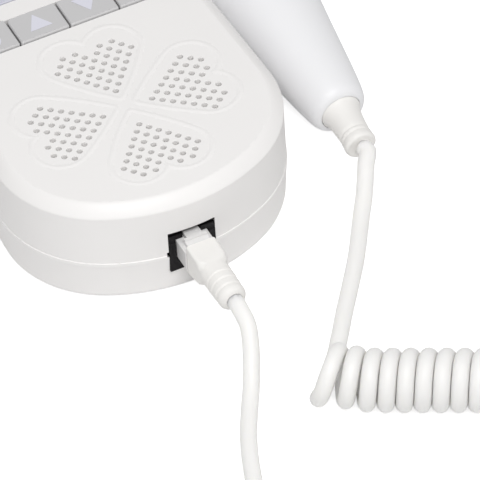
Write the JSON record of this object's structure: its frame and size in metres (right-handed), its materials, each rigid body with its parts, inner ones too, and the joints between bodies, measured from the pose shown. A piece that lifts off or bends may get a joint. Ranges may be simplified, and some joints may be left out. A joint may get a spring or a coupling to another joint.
{
  "type": "fetal doppler monitor",
  "caption": "Handheld fetal heart monitor with a clover speaker grille, sloped keys, a small display and a tapered probe on a plugged curly cord.",
  "frame": {"origin": "on the flat back of the monitor, straight under the centre of the clover grille", "axes": "+X along the row of keys to the right, +Y along the case towards the display, +Z out of the face"},
  "size_m": [0.1654, 0.2878, 0.0374],
  "materials": {
    "shell": "satin",
    "keys": "satin",
    "display_frame": "satin",
    "window": "clear",
    "display": "liquid crystal grey green",
    "silicone": "matt",
    "board": "solder resist",
    "socket": "moulded",
    "speaker": "paper cone and steel basket",
    "foam": "foam",
    "steel": "zinc plated",
    "gold": "gold plated",
    "cells": "plain printed sleeve",
    "plug": "milky clear",
    "cord": "smooth satin",
    "probe_window": "smooth",
    "crystal": "silvered ceramic"
  },
  "bodies": {
    "base": {"upper_housing": "shell", "lower_housing": "shell", "display_bezel": "display_frame", "display_lens": "window", "display_module": "display", "keypad_membrane": "silicone", "main_board": "board", "board_screws": "steel", "speaker": "speaker", "speaker_gasket": "foam", "earphone_socket": "socket", "modular_socket": "socket", "socket_board": "board", "battery_cells": "cells", "battery_contacts": "steel", "case_screws": "steel", "plug_body": "plug", "plug_contacts": "gold", "plug_boot": "cord", "plug_lead": "cord", "curly_cord": "cord", "probe_lead": "cord", "probe_handle": "shell", "probe_head": "shell", "probe_window": "probe_window", "probe_crystal": "crystal", "probe_board": "board", "probe_strain_relief": "cord"},
    "key_power": {"key_power": "keys"},
    "key_up": {"key_up": "keys"},
    "key_down": {"key_down": "keys"},
    "key_mode": {"key_mode": "keys"},
    "battery_cover": {"battery_cover": "shell"},
    "plug_latch": {"plug_latch": "plug"}
  },
  "joints": [
    {"name": "key_power_press", "type": "slide", "parent": "base", "child": "key_power", "axis": [0, 0, -1], "range_m": [0, 0.0007], "stiffness_N_per_m": 2500},
    {"name": "key_up_press", "type": "slide", "parent": "base", "child": "key_up", "axis": [0, 0, -1], "range_m": [0, 0.0007], "stiffness_N_per_m": 2500},
    {"name": "key_down_press", "type": "slide", "parent": "base", "child": "key_down", "axis": [0, 0, -1], "range_m": [0, 0.0007], "stiffness_N_per_m": 2500},
    {"name": "key_mode_press", "type": "slide", "parent": "base", "child": "key_mode", "axis": [0, 0, -1], "range_m": [0, 0.0007], "stiffness_N_per_m": 2500},
    {"name": "battery_cover_slide", "type": "slide", "parent": "base", "child": "battery_cover", "axis": [0, 1, 0], "range_m": [0, 0.008]},
    {"name": "plug_latch_bend", "type": "hinge", "parent": "base", "child": "plug_latch", "pos_m": [0, -0.0316, 0.0202], "axis": [1, 0, 0], "range_deg": [0, 4], "stiffness_Nm_per_rad": 0.6}
  ]
}
